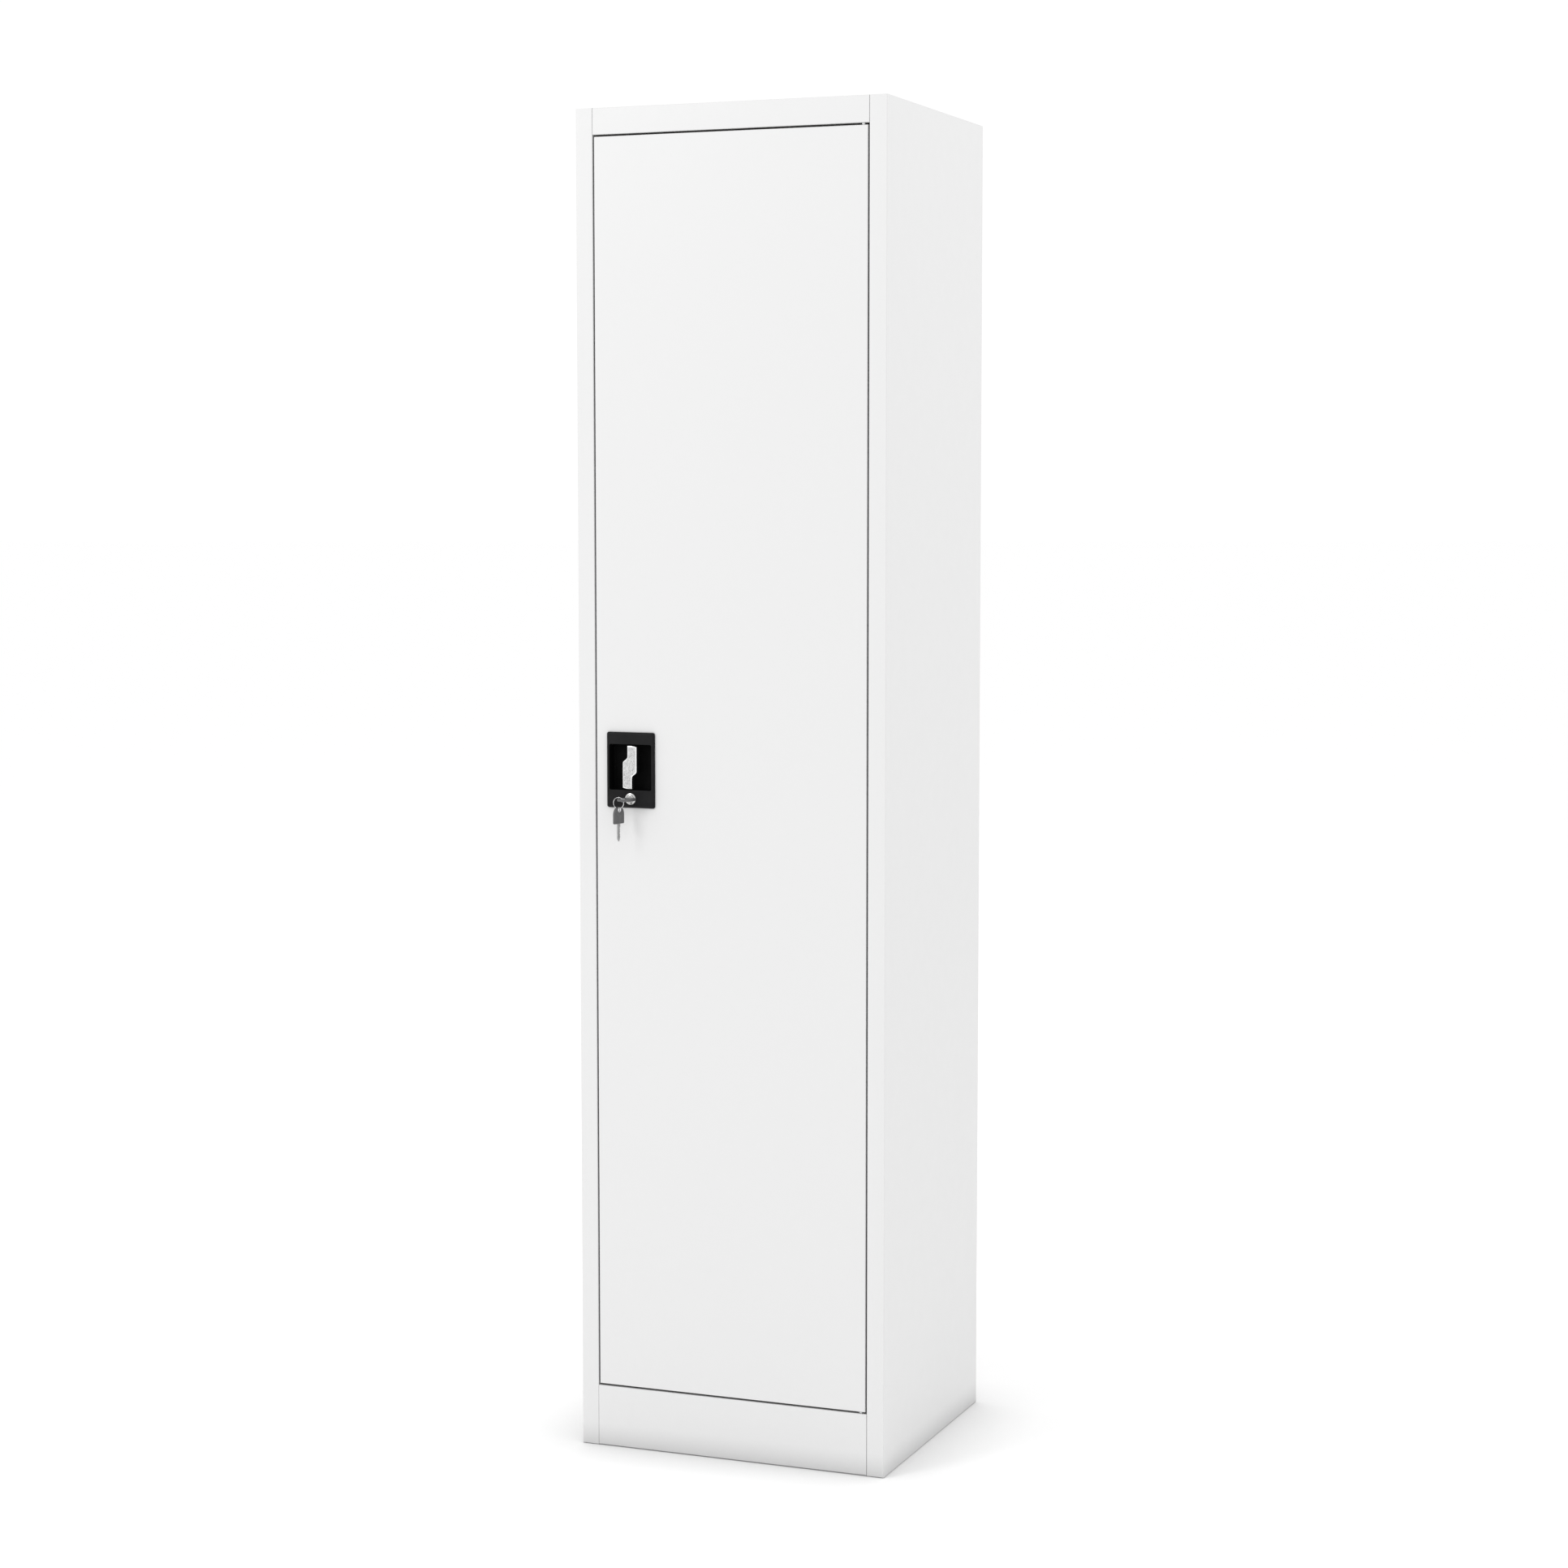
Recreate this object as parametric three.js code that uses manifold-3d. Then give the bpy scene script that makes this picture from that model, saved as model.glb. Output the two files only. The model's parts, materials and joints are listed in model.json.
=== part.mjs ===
// A tall single-door steel locker with a recessed turn handle, a key lock and a two-rod latch.
// Millimetres, +Z up. The front faces -Y; inside the group `locker`, y is the depth behind the front face.
import * as THREE from 'three';
import { mergeVertices } from 'three/addons/utils/BufferGeometryUtils.js';
import Module from 'manifold-3d';

const wasm = await Module();
wasm.setup();

// ---- driving dimensions ------------------------------------------------------------------------------
const WIDTH = 450;
const DEPTH = 400;
const HEIGHT = 1850;
const KEY_REACH = 40; // how far the keys stand out in front of the door
const SHEET = 0.8;
const FIT = 0.3; // gap between two pieces that touch
const BEND = 0.5; // inside radius of a fold
const BEND_STEPS = 3;

const STILE = 25; // front frame strip of each side panel
const PLINTH = 85;
const TOP_RAIL = 36;
const STOP_DEPTH = 20.5; // from the front face to the strip that the door closes against
const STOP_WIDTH = 12;
const FLOOR_Z = 97;
const FLANGE = 20;

const DOOR_DEPTH = 18;
const DOOR_SIDE_GAP = 2;
const DOOR_END_GAP = 2.5;
const DOOR_SIDE_LIP = 15;
const DOOR_END_LIP = 25;
const HINGE_INSET = 9.5; // pivot axis from the edge of the opening
const HINGE_DEPTH = 5;
const PIN_R = 2.5;
const STIFFENER_X = 30;
const STIFFENER_HALF = 20; // half the width of its raised middle
const STIFFENER_FOOT = 12;
const BUMPER_ROWS = { lower: 400, upper: 1500 };

const SHELF_Z = 1520;
const RAIL_Z = 1440;
const HOOK_Z = 1365;
const CLIP_ROWS = { front: 100, rear: 340 };

const HANDLE_X = -146;
const HANDLE_Z = 956;
const LOCK_DROP = 43.5; // from the handle's axis down to the lock's axis
const BEZEL_WIDTH = 71.5;
const BEZEL_LOW = 900;
const BEZEL_HIGH = 1004;
const BEZEL_PROUD = 4;
const RECESS = 63;
const RECESS_FLOOR = 12;
const HOUSING_HOLE = 68.4; // width of the hole in the door for the handle housing

const STUD_ORBIT = 14; // radius of the cam studs that drive the rods
const STUD_R = 2;
const ROD_R = 3;
const ROD_DEPTH = 26.1;
const ROD_STRIP = 3; // thickness of the flattened end of a rod
const UPPER_ROD_TIP = 1803;
const LOWER_ROD_TIP = 99.5;
const UPPER_GUIDE = [1788, 1802];
const LOWER_GUIDE = [101, 113];
const ROD_HOLE = 8.4; // side of the square hole in the floor for the lower rod
const CAM_FRONT = 21.9;
const CAM_BACK = 24.1;
const TONGUE = 52;

const KEY_HOLE_DEPTH = -27.5; // the ring hole of the key that is in the lock
const RING_R = 7.65;
const RING_WIRE_R = 0.6;
const RING_X = -6.7; // ring centre from the lock's axis
const RING_Z = -3.7;
const SPARE_KEY_YAW = 78; // degrees, the plane of the hanging key from the door's plane

// ---- places worked out from them ---------------------------------------------------------------------
const HALF = WIDTH / 2;
const SKIN = SHEET / 2;
const OPENING = HALF - STILE;
const RAIL_LOW = HEIGHT - TOP_RAIL;
const DOOR_HALF = OPENING - DOOR_SIDE_GAP;
const DOOR_LOW = PLINTH + DOOR_END_GAP;
const DOOR_HIGH = RAIL_LOW - DOOR_END_GAP;
const HINGE_X = OPENING - HINGE_INSET;
const LOCK_Z = HANDLE_Z - LOCK_DROP;
const STUD_REST = STUD_ORBIT * Math.SQRT1_2; // both studs rest at 45 degrees to the horizontal
const ROD_OFFSET = (STUD_ORBIT + STUD_REST) / 2;
const BEHIND_JAMB = STOP_DEPTH + SHEET + FIT;

// ---- building blocks -----------------------------------------------------------------------------------
const AXES = {
  x: new THREE.Matrix4().makeBasis(
    new THREE.Vector3(0, 1, 0), new THREE.Vector3(0, 0, 1), new THREE.Vector3(1, 0, 0)),
  y: new THREE.Matrix4().makeRotationX(Math.PI / 2),
  z: new THREE.Matrix4(),
};

function manifold(geometry) {
  const bare = geometry.clone();
  bare.deleteAttribute('normal');
  bare.deleteAttribute('uv');
  const merged = mergeVertices(bare, 1e-4);
  return new wasm.Manifold(new wasm.Mesh({
    numProp: 3,
    vertProperties: new Float32Array(merged.attributes.position.array),
    triVerts: new Uint32Array(merged.index.array),
  }));
}

function geometryOf(solid) {
  const { vertProperties, triVerts } = solid.getMesh();
  const geometry = new THREE.BufferGeometry();
  geometry.setAttribute('position', new THREE.BufferAttribute(vertProperties, 3));
  geometry.setIndex(new THREE.BufferAttribute(triVerts, 1));
  geometry.computeVertexNormals();
  return geometry;
}

const join = (...solids) => solids.reduce((whole, solid) => whole.add(solid));
const cut = (solid, ...tools) => tools.reduce((whole, tool) => whole.subtract(tool), solid);

function block([x0, x1], [y0, y1], [z0, z1]) {
  const geometry = new THREE.BoxGeometry(x1 - x0, y1 - y0, z1 - z0);
  return manifold(geometry.translate((x0 + x1) / 2, (y0 + y1) / 2, (z0 + z1) / 2));
}

// An outline pushed along an axis: drawn in (y, z) for x, in (x, z) for y and in (x, y) for z.
function prism(axis, outline, [from, to], chamfer = 0, curveSegments = 2) {
  const geometry = new THREE.ExtrudeGeometry(outline, {
    depth: to - from - 2 * chamfer, curveSegments, bevelEnabled: chamfer > 0,
    bevelThickness: chamfer, bevelSize: chamfer, bevelOffset: -chamfer, bevelSegments: 1,
  });
  geometry.translate(0, 0, (axis === 'y' ? -to : from) + chamfer);
  return manifold(geometry.applyMatrix4(AXES[axis]));
}

function disc(radius, [x, y] = [0, 0], sides = 16) {
  return new THREE.Shape(Array.from({ length: sides }, (_, k) => {
    const angle = (2 * Math.PI * k) / sides;
    return new THREE.Vector2(x + radius * Math.cos(angle), y + radius * Math.sin(angle));
  }));
}

// A round bar along an axis, centred on the point `at` of the plane across that axis.
function bar(axis, radius, span, at = [0, 0], sides = 16) {
  return prism(axis, disc(radius, at, sides), span);
}

function roundedRectangle([x0, x1], [y0, y1], lowRadius, highRadius = lowRadius) {
  const turn = Math.PI / 2;
  return new THREE.Shape()
    .absarc(x1 - lowRadius, y0 + lowRadius, lowRadius, -turn, 0)
    .absarc(x1 - highRadius, y1 - highRadius, highRadius, 0, turn)
    .absarc(x0 + highRadius, y1 - highRadius, highRadius, turn, 2 * turn)
    .absarc(x0 + lowRadius, y0 + lowRadius, lowRadius, 2 * turn, 3 * turn);
}

// The section of a folded sheet whose middle line runs through the given corners.
function foldedSheet(corners, thickness = SHEET) {
  const points = corners.map(([x, y]) => new THREE.Vector2(x, y));
  const radius = BEND + thickness / 2;
  const sideOf = (from, to) => new THREE.Vector2(from.y - to.y, to.x - from.x).normalize();
  const stations = [];
  points.forEach((point, i) => {
    if (i === 0 || i === points.length - 1) {
      stations.push({ at: point, side: i === 0 ? sideOf(point, points[1]) : sideOf(points[i - 1], point) });
      return;
    }
    const arriving = point.clone().sub(points[i - 1]).normalize();
    const leaving = points[i + 1].clone().sub(point).normalize();
    const turn = Math.atan2(arriving.cross(leaving), arriving.dot(leaving));
    const towards = Math.sign(turn) * radius;
    const firstSide = sideOf(points[i - 1], point);
    const centre = point.clone()
      .addScaledVector(arriving, -radius * Math.tan(Math.abs(turn) / 2))
      .addScaledVector(firstSide, towards);
    for (let k = 0; k <= BEND_STEPS; k += 1) {
      const side = firstSide.clone().rotateAround(new THREE.Vector2(), (turn * k) / BEND_STEPS);
      stations.push({ at: centre.clone().addScaledVector(side, -towards), side });
    }
  });
  const offset = (distance) => stations.map(({ at, side }) => at.clone().addScaledVector(side, distance));
  return new THREE.Shape([...offset(thickness / 2), ...offset(-thickness / 2).reverse()]);
}

const folded = (axis, corners, span, thickness) => prism(axis, foldedSheet(corners, thickness), span);
const both = (half) => [-half, half];
const around = (middle, size) => [middle - size / 2, middle + size / 2];
const onSide = (side, inner, outer) => (side > 0 ? [inner, outer] : [-outer, -inner]);

function finish(color, roughness, metalness) {
  return () => new THREE.MeshStandardMaterial({ color, roughness, metalness });
}

const whitePaint = finish(0xf1f1f1, 0.45, 0.1);
const zincSteel = finish(0xb4b8bb, 0.4, 0.9);
const chrome = finish(0xd8d9da, 0.15, 1);
const satinSilver = finish(0xc2c3c4, 0.45, 0.9);
const blackPlastic = finish(0x1c1c1e, 0.45, 0);
const greyPlastic = finish(0x4a4b4d, 0.5, 0);
const nylon = finish(0xe6e3da, 0.55, 0);
const rubber = finish(0x26272a, 0.8, 0);

function group(parent, x = 0, y = 0, z = 0) {
  const child = new THREE.Group();
  child.position.set(x, y, z);
  if (parent) parent.add(child);
  return child;
}

function place(parent, name, solid, material) {
  const mesh = new THREE.Mesh(geometryOf(solid), material());
  mesh.name = name;
  parent.add(mesh);
  return mesh;
}

// ---- cabinet -------------------------------------------------------------------------------------------
const RIVET_ROWS = [300, 925, 1550];
const RIVET_X = HALF - 12;

function sidePanel(side) {
  const wall = side * (HALF - SKIN);
  const jamb = side * (OPENING + SKIN);
  const sheet = folded('z', [
    [side * (OPENING - STOP_WIDTH), STOP_DEPTH + SKIN], [jamb, STOP_DEPTH + SKIN], [jamb, SKIN],
    [wall, SKIN], [wall, DEPTH - SKIN], [side * (HALF - FLANGE), DEPTH - SKIN],
  ], [0, HEIGHT]);
  const foot = block(onSide(side, HALF - FLANGE, HALF), [2, DEPTH - 2], [0, SHEET]);
  const underTop = block(onSide(side, OPENING - STOP_WIDTH - 1, OPENING + SHEET + FIT), [SHEET, BEHIND_JAMB],
    [HEIGHT - SHEET - FIT, HEIGHT + 1]);
  const holes = RIVET_ROWS.map((z) => bar('y', 2, [DEPTH - 2, DEPTH + 1], [side * RIVET_X, z], 8));
  return cut(join(sheet, foot), underTop, ...holes);
}

// The rail over the door, or the plinth under it: a front face, a return over the gap and a stop strip.
function crossMember(gapZ, outerZ, stopZ) {
  const outward = Math.sign(outerZ - gapZ);
  const gapMid = gapZ + outward * SKIN;
  const outerMid = outerZ - outward * SKIN;
  const front = folded('x', [
    [STOP_DEPTH - FIT, gapMid], [SKIN, gapMid], [SKIN, outerMid], [FLANGE + SKIN, outerMid],
  ], both(OPENING - FIT));
  const stop = folded('x', [
    [STOP_DEPTH / 2, gapMid], [STOP_DEPTH + SKIN, gapMid], [STOP_DEPTH + SKIN, stopZ],
  ], both(OPENING - STOP_WIDTH - FIT));
  return join(front, stop);
}

// A level sheet with its sides and back edge turned down by `drop`, whose top face is at `z`.
function tray(z, drop, front) {
  const side = HALF - SHEET - FIT - SKIN;
  const back = DEPTH - 2 * SHEET - 2 * FIT - SKIN;
  const across = [[-side, z - drop], [-side, z - SKIN], [side, z - SKIN], [side, z - drop]];
  const along = [[front, z - SKIN], [back, z - SKIN], [back, z - drop]];
  return join(folded('y', across, [FLANGE + 5, back - 2]), folded('x', along, both(side + SKIN)));
}

const pinHole = (z, radius) => bar('z', radius, [z - 1, z + 1], [HINGE_X, HINGE_DEPTH]);

function topPanel() {
  const rail = crossMember(RAIL_LOW, HEIGHT, RAIL_LOW - 10);
  return cut(join(rail, tray(HEIGHT, 18, SHEET + FIT)), pinHole(RAIL_LOW + SKIN, PIN_R + FIT));
}

function bottomPanel() {
  const plinth = crossMember(PLINTH, 0, FLOOR_Z - SKIN);
  const floorEdge = folded('x', [
    [STOP_DEPTH + SKIN, FLOOR_Z - 6], [STOP_DEPTH + SKIN, FLOOR_Z - SKIN], [DEPTH / 2, FLOOR_Z - SKIN],
  ], both(OPENING - STOP_WIDTH - FIT));
  const floor = tray(FLOOR_Z, 18, BEHIND_JAMB + 2);
  const stileFloors = [-1, 1].map((side) => block(
    onSide(side, OPENING + SHEET + FIT, HALF - SHEET - FIT), [SHEET + FIT, BEHIND_JAMB + 3],
    [FLOOR_Z - SHEET, FLOOR_Z]));
  const rodHole = block(
    around(HANDLE_X - ROD_OFFSET, ROD_HOLE), around(ROD_DEPTH, ROD_HOLE), around(FLOOR_Z, 4 * SHEET));
  const sheet = join(plinth, floorEdge, floor, ...stileFloors);
  return cut(sheet, pinHole(PLINTH - SKIN, PIN_R + FIT), rodHole);
}

function backPanel() {
  const back = DEPTH - SHEET - FIT;
  const sheet = block(both(HALF - SHEET - FIT), [back - SHEET, back], [1.5, HEIGHT - SHEET - FIT]);
  const holes = RIVET_ROWS.flatMap((z) => [-1, 1].map(
    (side) => bar('y', 2, [back - 2, back + 1], [side * RIVET_X, z], 8)));
  return cut(sheet, ...holes);
}

const SHELF_HALF = HALF - 4;
const SHELF_FRONT = 60;
const SHELF_DROP = 20;

function shelf() {
  const edge = SHELF_HALF - SKIN;
  const mid = SHELF_Z - SKIN;
  const low = SHELF_Z - SHELF_DROP;
  const across = [[-edge, low], [-edge, mid], [edge, mid], [edge, low]];
  const along = [
    [SHELF_FRONT + 12, low - 4], [SHELF_FRONT, low - 4], [SHELF_FRONT, mid],
    [DEPTH - 6, mid], [DEPTH - 6, low],
  ];
  return join(
    folded('y', across, [SHELF_FRONT + 6, DEPTH - 8]),
    folded('x', along, both(edge - SHEET)),
    block(both(SHELF_HALF), [SHELF_FRONT + 6, DEPTH - 8], [mid - SKIN, SHELF_Z]),
  );
}

function shelfClip(side, y) {
  const plate = side * (HALF - SHEET - FIT - 0.6);
  const ledge = SHELF_Z - SHELF_DROP - FIT - 0.6;
  return folded('y', [[plate, ledge - 22], [plate, ledge], [side * (HALF - 18), ledge]], [y - 13, y + 13], 1.2);
}

function hangingRail() {
  const half = HALF - 4;
  const at = [DEPTH / 2, RAIL_Z];
  return cut(bar('x', 10, both(half), at, 24), bar('x', 8.8, both(half + 1), at, 24));
}

function railSocket(side) {
  const wall = HALF - SHEET - FIT;
  const at = [DEPTH / 2, RAIL_Z];
  const flange = bar('x', 18, onSide(side, wall - 2.2, wall), at, 24);
  const collar = bar('x', 13, onSide(side, wall - 14, wall - 1), at, 24);
  return cut(join(flange, collar), bar('x', 10.4, onSide(side, wall - 20, wall - 2.4), at, 24));
}

function coatHook(side) {
  const wall = HALF - SHEET - FIT;
  const y = DEPTH * 0.35;
  const spine = new THREE.CatmullRomCurve3([
    [wall - 1, 4], [wall - 14, 1], [wall - 28, -6], [wall - 38, -2], [wall - 41, 12],
  ].map(([x, z]) => new THREE.Vector3(side * x, y, HOOK_Z + z)));
  const arm = new THREE.ExtrudeGeometry(disc(2.6, [0, 0], 8), { extrudePath: spine, steps: 12 });
  const knob = new THREE.SphereGeometry(4.4, 10, 6).translate(side * (wall - 41), y, HOOK_Z + 13);
  const outline = roundedRectangle(around(y, 20), around(HOOK_Z, 36), 3);
  const plate = prism('x', outline, onSide(side, wall - 1.5, wall));
  return join(plate, manifold(arm), manifold(knob));
}

// A pivot riveted to the frame: a head behind the return, a collar in the door gap and the pin itself.
function hingePin(gapZ, inward) {
  const at = [HINGE_X, HINGE_DEPTH];
  const span = (from, to) => [gapZ + inward * from, gapZ + inward * to].sort((a, b) => a - b);
  return join(
    bar('z', 4, span(-SHEET - FIT - 2, -SHEET - FIT), at),
    bar('z', PIN_R, span(-SHEET - FIT - 1, 13), at),
    bar('z', 3, span(FIT, DOOR_END_GAP - 2 * FIT), at),
  );
}

function doorBumper(z) {
  const x = -(OPENING - STOP_WIDTH / 2);
  return prism('y', disc(4.6, [x, z]), [DOOR_DEPTH + FIT, STOP_DEPTH - FIT], 0.5);
}

function backRivet(side, z) {
  const head = DEPTH - 2 * SHEET - 2 * FIT;
  return join(
    prism('y', disc(4, [side * RIVET_X, z], 12), [head - 1.6, head], 0.5),
    bar('y', 1.7, [head - 0.5, DEPTH - 0.1], [side * RIVET_X, z], 8),
  );
}

// ---- door ------------------------------------------------------------------------------------------------
const CLAMP_SCREW_X = 26;
const CLAMP_SCREW_Z = 38.8;

// A box with rounded edges all round its front and back, `inset` from the door's outside.
function doorBlank(inset) {
  const radius = BEND + SHEET - inset;
  const xs = both(DOOR_HALF - inset);
  const ys = [inset, DOOR_DEPTH - inset];
  const zs = [DOOR_LOW + inset, DOOR_HIGH - inset];
  return prism('z', roundedRectangle(xs, ys, radius), zs).intersect(
    prism('x', roundedRectangle(ys, zs, radius), xs));
}

function doorPan() {
  const opening = block(
    both(DOOR_HALF - DOOR_SIDE_LIP), [DOOR_DEPTH - 3, DOOR_DEPTH + 1],
    [DOOR_LOW + DOOR_END_LIP, DOOR_HIGH - DOOR_END_LIP]);
  const housingHole = block(
    around(HANDLE_X, HOUSING_HOLE), [-1, 2], [BEZEL_LOW + 3.2, BEZEL_HIGH - 3.2]);
  const bushHoles = [DOOR_LOW + SKIN, DOOR_HIGH - SKIN].map((z) => pinHole(z, 3.2));
  return cut(doorBlank(0), doorBlank(SHEET), opening, housingHole, ...bushHoles);
}

function doorStiffener() {
  const foot = SHEET + FIT + SKIN;
  const crown = DOOR_DEPTH - 1.5;
  const left = STIFFENER_X - STIFFENER_HALF;
  const right = STIFFENER_X + STIFFENER_HALF;
  return folded('z', [
    [left - STIFFENER_FOOT, foot], [left, foot], [left, crown],
    [right, crown], [right, foot], [right + STIFFENER_FOOT, foot],
  ], [DOOR_LOW + 40, DOOR_HIGH - 40]);
}

function hingeBush(edge, inward) {
  const at = [HINGE_X, HINGE_DEPTH];
  const span = (from, to) => [edge + inward * from, edge + inward * to].sort((a, b) => a - b);
  return cut(
    join(bar('z', 3.8, span(SHEET + FIT, 4), at), bar('z', 2.95, span(-0.2, 3), at)),
    bar('z', PIN_R + 0.15, span(-2, 6), at),
  );
}

function rodGuide(x, [low, high]) {
  const behind = DOOR_DEPTH + FIT;
  const body = prism('z', roundedRectangle([x - 8, x + 8], [behind, ROD_DEPTH + 5], 0.6, 3), [low, high]);
  return cut(body, bar('z', ROD_R + 0.4, [low - 1, high + 1], [x, ROD_DEPTH]));
}

// The pieces below are drawn about the handle's axis.
function handleHousing() {
  const low = BEZEL_LOW - HANDLE_Z;
  const high = BEZEL_HIGH - HANDLE_Z;
  const half = RECESS / 2;
  const back = RECESS_FLOOR + 1.5;
  const bezelOutline = roundedRectangle(both(BEZEL_WIDTH / 2), [low, high], 3);
  const bezel = cut(prism('y', bezelOutline, [-BEZEL_PROUD, 6], 2.2),
    block(both(50), [-FIT, 10], [low - 10, high + 10]));
  const cupWall = prism('y', roundedRectangle(both(half + 1.6), both(half + 1.6), 4), [-1, back]);
  const lockBoss = bar('y', 9, [-1, back], [0, -LOCK_DROP], 24);
  const screwBosses = [-1, 1].map((s) => bar('y', 4.4, [-1, back], [s * CLAMP_SCREW_X, CLAMP_SCREW_Z], 12));
  return cut(
    join(bezel, cupWall, lockBoss, ...screwBosses),
    prism('y', roundedRectangle(both(half), both(half), 2.5), [-8, RECESS_FLOOR]),
    bar('y', 5.4, [RECESS_FLOOR - 1, back + 1]),
    bar('y', 8.3, [-8, -2.2], [0, -LOCK_DROP], 32),
    bar('y', 7.3, [-8, back + 1], [0, -LOCK_DROP], 24),
    ...[-1, 1].map((s) => bar('y', 2.1, [4, back + 1], [s * CLAMP_SCREW_X, CLAMP_SCREW_Z], 8)),
  );
}

function housingClamp() {
  const foot = SHEET + FIT + 0.6;
  const crown = RECESS_FLOOR + 2.6;
  const strap = folded('x', [
    [foot, -72], [foot, -62], [crown, -62], [crown, 54], [foot, 54], [foot, 64],
  ], both(32), 1.2);
  return cut(strap,
    bar('y', 8, [crown - 2, crown + 2]),
    bar('y', 7.3, [crown - 2, crown + 2], [0, -LOCK_DROP], 24),
    ...[-1, 1].map((s) => bar('y', 2.1, [crown - 2, crown + 2], [s * CLAMP_SCREW_X, CLAMP_SCREW_Z], 8)));
}

const CLAMP_BACK = RECESS_FLOOR + 3.2 + FIT;

// A cross-head screw driven towards the door's front, its head resting at depth `seat`.
function panScrew(seat, length, [x, z], headR, shankR) {
  const head = prism('y', disc(headR, [x, z], 12), [seat, seat + 1.8], 0.5);
  const arm = headR * 0.62;
  const cross = [block([x - arm, x + arm], [seat + 1, seat + 3], [z - 0.4, z + 0.4]),
    block([x - 0.4, x + 0.4], [seat + 1, seat + 3], [z - arm, z + arm])];
  return join(cut(head, ...cross), bar('y', shankR, [seat - length, seat + 0.4], [x, z], 8));
}

function turnHandle() {
  const wide = 10.5;
  const narrow = 3.5;
  const reach = 30;
  const stepFar = 15.2;
  const stepNear = 5.2;
  const middle = (stepFar + stepNear) / 2;
  const grip = new THREE.Shape()
    .moveTo(-narrow, reach + 5).lineTo(-narrow, stepFar)
    .bezierCurveTo(-narrow, middle, -wide, middle, -wide, stepNear)
    .lineTo(-wide, -reach - 5).lineTo(narrow, -reach - 5).lineTo(narrow, -stepFar)
    .bezierCurveTo(narrow, -middle, wide, -middle, wide, -stepNear)
    .lineTo(wide, reach + 5);
  const front = -BEZEL_PROUD - 2.5;
  const slab = prism('y', grip, [front, front + 8], 1, 6);
  const ends = prism('y', disc(reach, [0, 0], 72), [front, front + 8], 1);
  return cut(
    join(slab.intersect(ends),
      bar('y', 7.5, [front + 7.5, RECESS_FLOOR - FIT], [0, 0], 24),
      bar('y', 5.1, [RECESS_FLOOR - 2, CAM_FRONT - FIT]),
      block(both(3.5), [CAM_FRONT - 1, CAM_BACK - 0.1], both(3.5))),
    bar('y', 1.9, [CAM_BACK - 9.5, CAM_BACK + 1], [0, 0], 8),
  );
}

// Turned 90 degrees by the handle: the tongue goes behind the left stop strip, the studs drive the rods,
// and the lug comes to rest beside the lock's tab.
function camPlate() {
  const depth = [CAM_FRONT, CAM_BACK];
  const lug = prism('y', roundedRectangle([10, 26], both(4.5), 1), depth).rotate([0, -210, 0]);
  const studs = [-1, 1].map((s) => bar(
    'y', STUD_R, [CAM_BACK - 0.5, ROD_DEPTH + ROD_STRIP / 2 + 0.7], [s * STUD_REST, -s * STUD_REST]));
  return cut(
    join(bar('y', 18, depth, [0, 0], 32),
      prism('y', roundedRectangle(both(6.5), [0, TONGUE], 1, 4), depth), lug, ...studs),
    block(both(3.75), [CAM_FRONT - 1, CAM_BACK + 1], both(3.75)),
  );
}

// A round rod with one end pressed flat and slotted for a cam stud. `up` is 1 or -1.
function latchRod(up, tip) {
  const x = up * ROD_OFFSET;
  const stud = -up * STUD_REST;
  const strip = [ROD_DEPTH - ROD_STRIP / 2, ROD_DEPTH + ROD_STRIP / 2];
  const zs = (from, to) => [up * from, up * to].sort((a, b) => a - b);
  const slotHalf = (STUD_ORBIT - STUD_REST) / 2 + STUD_R + FIT;
  const head = prism('y', roundedRectangle([x - slotHalf - 2.3, x + slotHalf + 2.3],
    [stud - 7, stud + 7], 1.5), strip);
  const neck = prism('y', roundedRectangle([x - 5, x + 5], zs(up * stud, 33), 1), strip);
  const [low, high] = zs(30, tip);
  const rod = bar('z', ROD_R, [low, high], [x, ROD_DEPTH], 12);
  const slot = prism('y', roundedRectangle([x - slotHalf, x + slotHalf], [stud - 2.65, stud + 2.65], 2.6),
    [strip[0] - 1, strip[1] + 1]);
  return cut(join(head, neck, rod), slot);
}

// ---- lock and keys, drawn about the lock's axis ---------------------------------------------------------
const LOCK_FACE_R = 8;
const LOCK_FACE = -5.2;
const LOCK_DOME = 30; // radius of the domed face
const PLUG_R = 5.2;
const domeAt = (r) => LOCK_FACE + LOCK_DOME - Math.sqrt(LOCK_DOME ** 2 - r ** 2);
const domeFrom = (r0, r1, steps = 3) => Array.from({ length: steps + 1 }, (_, k) => {
  const r = r0 + ((r1 - r0) * k) / steps;
  return [r, domeAt(r)];
});

function turned(profile, segments = 32) {
  return manifold(new THREE.LatheGeometry(profile.map(([r, y]) => new THREE.Vector2(r, y)), segments));
}

function lockCylinder() {
  const bore = PLUG_R + 0.25;
  return turned([...domeFrom(bore, LOCK_FACE_R - 0.5), [LOCK_FACE_R, domeAt(LOCK_FACE_R) + 0.4],
    [LOCK_FACE_R, -2.5], [6.95, -2.5], [6.95, 20.2], [bore, 20.2], [bore, domeAt(bore)]]);
}

function cylinderNut() {
  const hexagon = bar('y', 11, [CLAMP_BACK, CLAMP_BACK + 3.5], [0, 0], 6);
  return cut(hexagon, bar('y', 7.25, [CLAMP_BACK - 1, CLAMP_BACK + 5], [0, 0], 24));
}

function lockPlug() {
  const body = turned([...domeFrom(0, PLUG_R), [PLUG_R, 21.4], [0, 21.4]]);
  return cut(
    join(body, block(both(2.5), [21, CAM_BACK - 0.1], both(2.5))),
    block(both(4.3), [LOCK_FACE - 1, 17], both(1.2)),
    bar('y', 1.6, [18.5, CAM_BACK + 1], [0, 0], 8),
  );
}

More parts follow.
